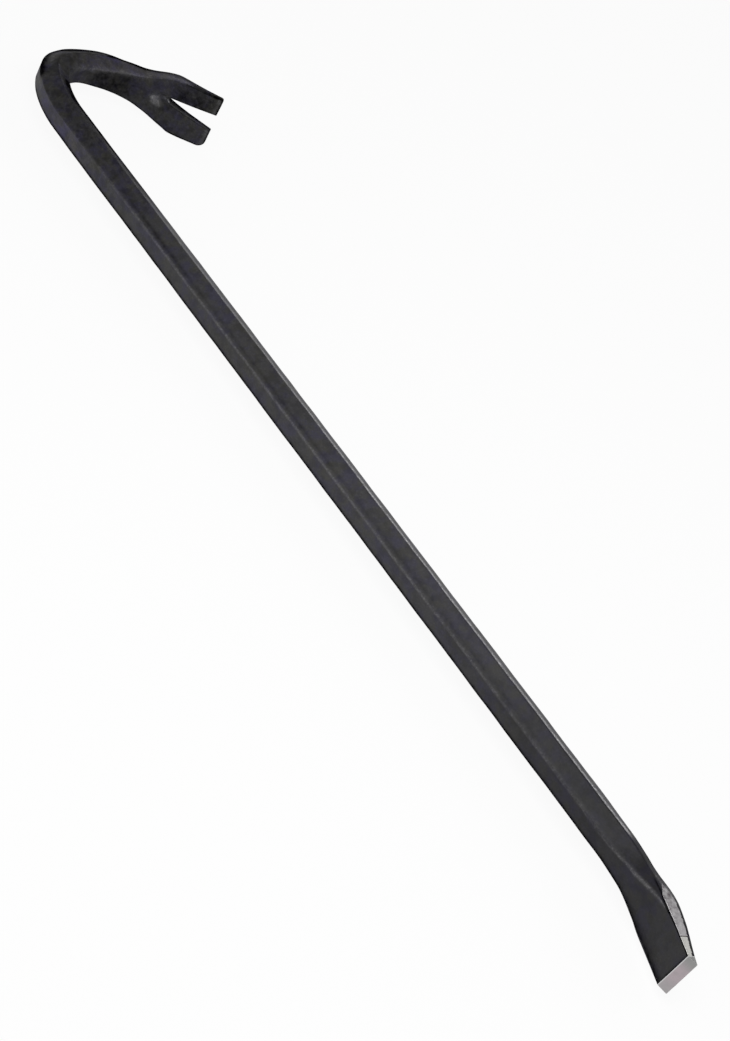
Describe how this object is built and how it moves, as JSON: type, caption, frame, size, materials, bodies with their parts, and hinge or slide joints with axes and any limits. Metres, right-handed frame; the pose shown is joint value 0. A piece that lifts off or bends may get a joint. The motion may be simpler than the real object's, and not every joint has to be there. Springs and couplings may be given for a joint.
{
  "type": "crowbar",
  "caption": "Gooseneck wrecking bar forged from hexagonal steel: a hooked end with a forked nail claw and dished eye, and an offset chisel end with a ground bevel.",
  "frame": {"origin": "middle of the bounding box's underside, with the bar lying on its side", "axes": "+X runs along the shank from the hook to the chisel, +Y is the side that the hook and its claw open to, +Z is square to the plane of the bend"},
  "size_m": [0.6054, 0.115, 0.0362],
  "materials": {
    "black_paint": "semi-matte black enamel over forged steel, worn at the edges",
    "ground_steel": "bare ground steel with fine grinding lines across the bevel"
  },
  "bodies": {
    "root": {"hex_shank": "black_paint", "hook_root": "black_paint", "hook_heel": "black_paint", "gooseneck_arm": "black_paint", "claw_palm": "black_paint", "claw_tine_upper": "black_paint", "claw_tine_lower": "black_paint", "chisel_shoulder": "black_paint", "chisel_blade": "black_paint", "chisel_bit": "ground_steel"}
  },
  "joints": []
}
